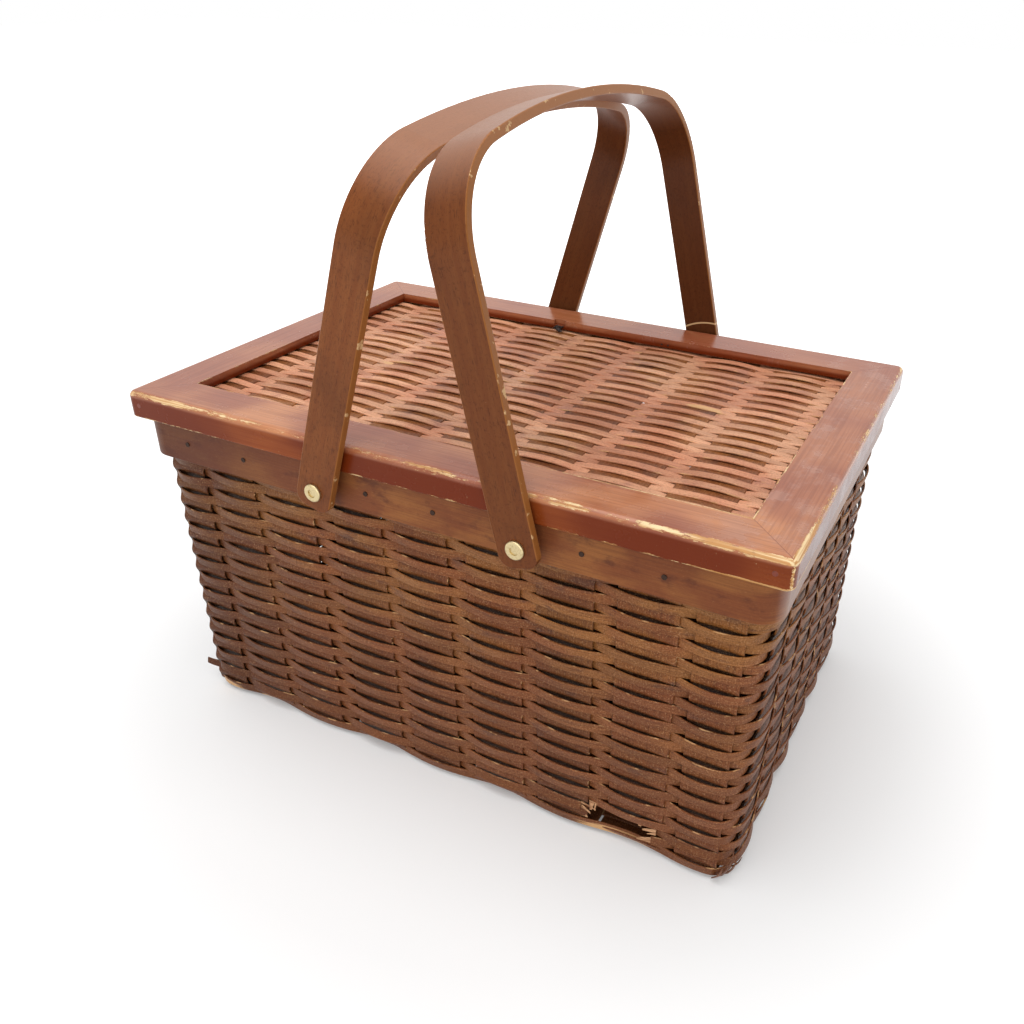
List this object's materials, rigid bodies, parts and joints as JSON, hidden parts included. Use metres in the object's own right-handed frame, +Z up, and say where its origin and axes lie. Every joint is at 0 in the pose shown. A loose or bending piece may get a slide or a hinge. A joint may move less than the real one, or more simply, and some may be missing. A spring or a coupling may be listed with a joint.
{
  "type": "picnic basket",
  "caption": "Rectangular picnic basket of woven wood splint with a framed woven lid on wire hinges and two bentwood handles that swing on rivets.",
  "frame": {"origin": "middle of the basket's footprint, on the surface that it stands on", "axes": "+X along the basket's length to the right as seen from the front, +Y to the hinged back, +Z up"},
  "size_m": [0.4, 0.2874, 0.3875],
  "materials": {
    "lid_wood": "worn brown stain with pale bare wood along the edges",
    "weave_splint": "aged brown splint",
    "rim_wood": "worn brown stain",
    "handle_wood": "worn brown stain",
    "rivet_metal": "pale brass plate, dulled",
    "hinge_wire": "dark, rusted",
    "nail_iron": "dark, rusted"
  },
  "bodies": {
    "basket": {"inner_rim_band": "rim_wood", "left_back_burr": "rivet_metal", "left_back_rivet": "rivet_metal", "left_back_spacer": "handle_wood", "left_front_burr": "rivet_metal", "left_front_rivet": "rivet_metal", "left_front_spacer": "handle_wood", "left_hinge_eye": "hinge_wire", "outer_rim_band": "rim_wood", "right_back_burr": "rivet_metal", "right_back_rivet": "rivet_metal", "right_back_spacer": "handle_wood", "right_front_burr": "rivet_metal", "right_front_rivet": "rivet_metal", "right_front_spacer": "handle_wood", "right_hinge_eye": "hinge_wire", "rim_nails": "nail_iron", "woven_floor": "weave_splint", "woven_wall": "weave_splint"},
    "lid": {"back_lid_batten": "lid_wood", "back_lid_rail": "lid_wood", "batten_nails": "nail_iron", "front_lid_batten": "lid_wood", "front_lid_rail": "lid_wood", "left_hinge_staple": "hinge_wire", "left_lid_batten": "lid_wood", "left_lid_rail": "lid_wood", "lid_corner_nails": "nail_iron", "lid_woven_panel": "weave_splint", "right_hinge_staple": "hinge_wire", "right_lid_batten": "lid_wood", "right_lid_rail": "lid_wood"},
    "left_handle": {"left_handle": "handle_wood"},
    "right_handle": {"right_handle": "handle_wood"}
  },
  "joints": [
    {"name": "lid_hinge", "type": "hinge", "parent": "basket", "child": "lid", "pos_m": [0, 0.1315, 0.2178], "axis": [-1, 0, 0], "range_deg": [0, 30]},
    {"name": "left_handle_pivot", "type": "hinge", "parent": "basket", "child": "left_handle", "pos_m": [-0.058, 0, 0.1938], "axis": [0, -1, 0], "range_deg": [0, 141]},
    {"name": "right_handle_pivot", "type": "hinge", "parent": "basket", "child": "right_handle", "pos_m": [0.0663, 0, 0.1938], "axis": [0, 1, 0], "range_deg": [0, 141]}
  ]
}
